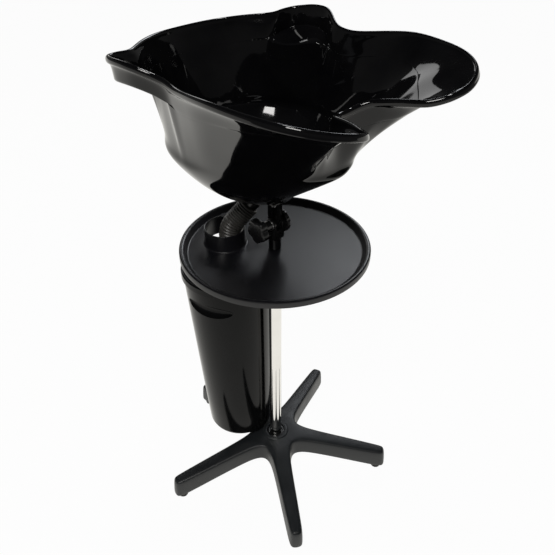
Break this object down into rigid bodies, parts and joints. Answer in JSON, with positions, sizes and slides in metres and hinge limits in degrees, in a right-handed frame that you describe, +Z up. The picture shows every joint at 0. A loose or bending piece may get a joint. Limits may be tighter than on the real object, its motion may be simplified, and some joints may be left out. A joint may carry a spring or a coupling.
{
  "type": "portable backwash basin",
  "caption": "Height-adjustable salon backwash basin that tilts on a post above a round tool tray, drained by a ribbed hose into a hanging lidded bucket, on a five-leg base.",
  "frame": {"origin": "centre of the bounding box on the floor", "axes": "+Z up, -Y towards the neck notch at the front, +X to the right seen from the front"},
  "size_m": [0.5236, 0.567, 1.0409],
  "materials": {
    "basin_bowl": "high-gloss black",
    "basin_bracket": "semi-gloss black",
    "bracket_screw_1": "zinc plated",
    "bracket_screw_2": "zinc plated",
    "bracket_screw_3": "zinc plated",
    "bracket_screw_4": "zinc plated",
    "bucket": "gloss black",
    "bucket_hanger": "black powder coat",
    "bucket_hanger_screw": "zinc plated",
    "bucket_lid": "gloss black",
    "column_bolt": "zinc plated",
    "column_ferrule": "semi-gloss black",
    "column_plug": "zinc plated",
    "column_tube": "bright chrome",
    "column_washer": "zinc plated",
    "drain_elbow": "semi-gloss black",
    "drain_flange": "bright chrome",
    "drain_gasket": "matte black",
    "drain_hose": "satin warm grey, ribbed",
    "foot_glide_1": "matte black",
    "foot_glide_2": "matte black",
    "foot_glide_3": "matte black",
    "foot_glide_4": "matte black",
    "foot_glide_5": "matte black",
    "guide_bush": "matte black",
    "height_clamp_boss": "semi-gloss black",
    "height_knob": "semi-gloss black",
    "height_knob_stud": "zinc plated",
    "inner_post": "bright chrome",
    "lid_grommet": "matte black",
    "post_foot_bush": "matte black",
    "post_head": "semi-gloss black",
    "post_head_screw": "zinc plated",
    "ribbed_nut": "semi-gloss black",
    "star_base": "fine matte slate black",
    "star_knob": "semi-gloss black",
    "tilt_bolt": "zinc plated",
    "tilt_washer": "zinc plated",
    "tool_tray": "satin black",
    "tray_hub": "semi-gloss black",
    "tray_hub_screw": "zinc plated"
  },
  "bodies": {
    "base": {"star_base": "star_base", "foot_glide_1": "foot_glide_1", "foot_glide_2": "foot_glide_2", "foot_glide_3": "foot_glide_3", "foot_glide_4": "foot_glide_4", "foot_glide_5": "foot_glide_5", "column_ferrule": "column_ferrule", "column_tube": "column_tube", "column_plug": "column_plug", "column_bolt": "column_bolt", "column_washer": "column_washer", "height_clamp_boss": "height_clamp_boss", "guide_bush": "guide_bush"},
    "height_knob": {"height_knob": "height_knob", "height_knob_stud": "height_knob_stud"},
    "post_foot": {"post_foot_bush": "post_foot_bush"},
    "post": {"inner_post": "inner_post", "tray_hub": "tray_hub", "tray_hub_screw": "tray_hub_screw", "tool_tray": "tool_tray", "bucket_hanger": "bucket_hanger", "bucket_hanger_screw": "bucket_hanger_screw", "post_head": "post_head", "post_head_screw": "post_head_screw", "ribbed_nut": "ribbed_nut", "drain_hose": "drain_hose"},
    "tilt_knob": {"star_knob": "star_knob", "tilt_bolt": "tilt_bolt", "tilt_washer": "tilt_washer"},
    "basin": {"basin_bowl": "basin_bowl", "basin_bracket": "basin_bracket", "bracket_screw_1": "bracket_screw_1", "bracket_screw_2": "bracket_screw_2", "bracket_screw_3": "bracket_screw_3", "bracket_screw_4": "bracket_screw_4", "drain_flange": "drain_flange", "drain_gasket": "drain_gasket", "drain_elbow": "drain_elbow"},
    "bucket": {"bucket": "bucket"},
    "lid": {"bucket_lid": "bucket_lid", "lid_grommet": "lid_grommet"}
  },
  "joints": [
    {"name": "height_slide", "type": "slide", "parent": "base", "child": "post_foot", "axis": [0, 0, 1], "range_m": [0, 0.18]},
    {"name": "post_swivel", "type": "hinge", "parent": "post_foot", "child": "post", "pos_m": [0.0032, 0.0082, 0.311], "axis": [0, 0, 1], "range_deg": [-90, 90]},
    {"name": "basin_tilt", "type": "hinge", "parent": "post", "child": "basin", "pos_m": [0.0032, 0.0082, 0.699], "axis": [1, 0, 0], "range_deg": [-12, 35], "deforming": ["drain_hose"]},
    {"name": "tilt_knob_turn", "type": "hinge", "parent": "post", "child": "tilt_knob", "pos_m": [-0.0368, 0.0082, 0.699], "axis": [-1, 0, 0], "range_deg": [0, 360]},
    {"name": "height_knob_turn", "type": "hinge", "parent": "base", "child": "height_knob", "pos_m": [0.0032, 0.0082, 0.55], "axis": [0.284, -0.9588, 0], "range_deg": [0, 360]},
    {"name": "bucket_lift", "type": "slide", "parent": "post", "child": "bucket", "axis": [0, 0, 1], "range_m": [0, 0.025]},
    {"name": "lid_lift", "type": "slide", "parent": "bucket", "child": "lid", "axis": [0, 0, 1], "range_m": [0, 0.03]}
  ]
}
